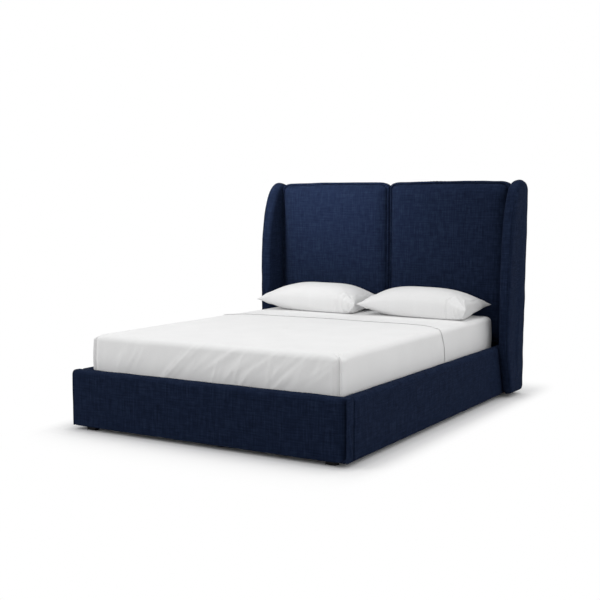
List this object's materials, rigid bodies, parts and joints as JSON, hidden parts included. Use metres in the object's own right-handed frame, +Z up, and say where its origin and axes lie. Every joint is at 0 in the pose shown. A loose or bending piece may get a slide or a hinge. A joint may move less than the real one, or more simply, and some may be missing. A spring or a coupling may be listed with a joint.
{
  "type": "bed",
  "caption": "Upholstered wing bed: two headboard cushions between padded wings, padded rails on low feet, slatted base, mattress with sheets and pillows.",
  "frame": {"origin": "on the floor, at the centre of the bed's bounding box seen from above", "axes": "+X to the right seen from the foot, +Y from the foot to the headboard, +Z up"},
  "size_m": [1.828, 2.31, 1.378],
  "materials": {
    "upholstery": "matt navy woven cloth with slubs",
    "timber": "planed pine, unfinished",
    "plywood": "birch plywood, unfinished",
    "zinc_steel": "bright zinc plating",
    "bracket_steel": "black powder coat",
    "foot_plastic": "matt black moulding",
    "webbing": "woven tape",
    "mattress_ticking": "off-white knitted ticking",
    "sheet_cotton": "smooth white cotton",
    "pillowcase": "smooth white cotton"
  },
  "bodies": {
    "frame": {"headboard_panel": "upholstery", "headboard_back_cover": "upholstery", "headboard_cushion_left": "upholstery", "headboard_cushion_right": "upholstery", "wing_cover_left": "upholstery", "wing_cover_right": "upholstery", "footboard_cover": "upholstery", "side_rail_cover_left": "upholstery", "side_rail_cover_right": "upholstery", "headboard_post_left": "timber", "headboard_post_right": "timber", "headboard_top_rail": "timber", "headboard_middle_rail": "timber", "headboard_bottom_rail": "timber", "footboard_board": "timber", "side_rail_board_left": "timber", "side_rail_board_right": "timber", "slat_ledger_left": "timber", "slat_ledger_right": "timber", "centre_beam": "timber", "centre_leg_front": "timber", "centre_leg_rear": "timber", "slat_1": "timber", "slat_2": "timber", "slat_3": "timber", "slat_4": "timber", "slat_5": "timber", "slat_6": "timber", "slat_7": "timber", "slat_8": "timber", "slat_9": "timber", "slat_10": "timber", "slat_11": "timber", "slat_12": "timber", "cushion_board_left": "plywood", "cushion_board_right": "plywood", "wing_board_left": "plywood", "wing_board_right": "plywood", "cushion_screws": "zinc_steel", "wing_bolts": "zinc_steel", "wing_tee_nuts": "zinc_steel", "bracket_bolts": "zinc_steel", "wood_screws": "zinc_steel", "leg_inserts": "zinc_steel", "corner_brackets": "bracket_steel", "beam_hangers": "bracket_steel", "corner_foot_front_left": "foot_plastic", "corner_foot_front_right": "foot_plastic", "corner_foot_rear_left": "foot_plastic", "corner_foot_rear_right": "foot_plastic", "slat_strap_left": "webbing", "slat_strap_right": "webbing"},
    "mattress": {"mattress": "mattress_ticking", "fitted_sheet": "sheet_cotton", "flat_sheet": "sheet_cotton"},
    "pillow_left": {"pillow_left": "pillowcase"},
    "pillow_right": {"pillow_right": "pillowcase"},
    "levelling_foot_front": {"levelling_foot_front": "foot_plastic"},
    "levelling_foot_rear": {"levelling_foot_rear": "foot_plastic"}
  },
  "joints": [
    {"name": "mattress_lift", "type": "slide", "parent": "frame", "child": "mattress", "axis": [0, 0, 1], "range_m": [0, 0.3]},
    {"name": "pillow_left_lift", "type": "slide", "parent": "mattress", "child": "pillow_left", "axis": [0, 0, 1], "range_m": [0, 0.3]},
    {"name": "pillow_right_lift", "type": "slide", "parent": "mattress", "child": "pillow_right", "axis": [0, 0, 1], "range_m": [0, 0.3]},
    {"name": "front_foot_levelling", "type": "slide", "parent": "frame", "child": "levelling_foot_front", "axis": [0, 0, 1], "range_m": [-0.012, 0]},
    {"name": "rear_foot_levelling", "type": "slide", "parent": "frame", "child": "levelling_foot_rear", "axis": [0, 0, 1], "range_m": [-0.012, 0]}
  ]
}
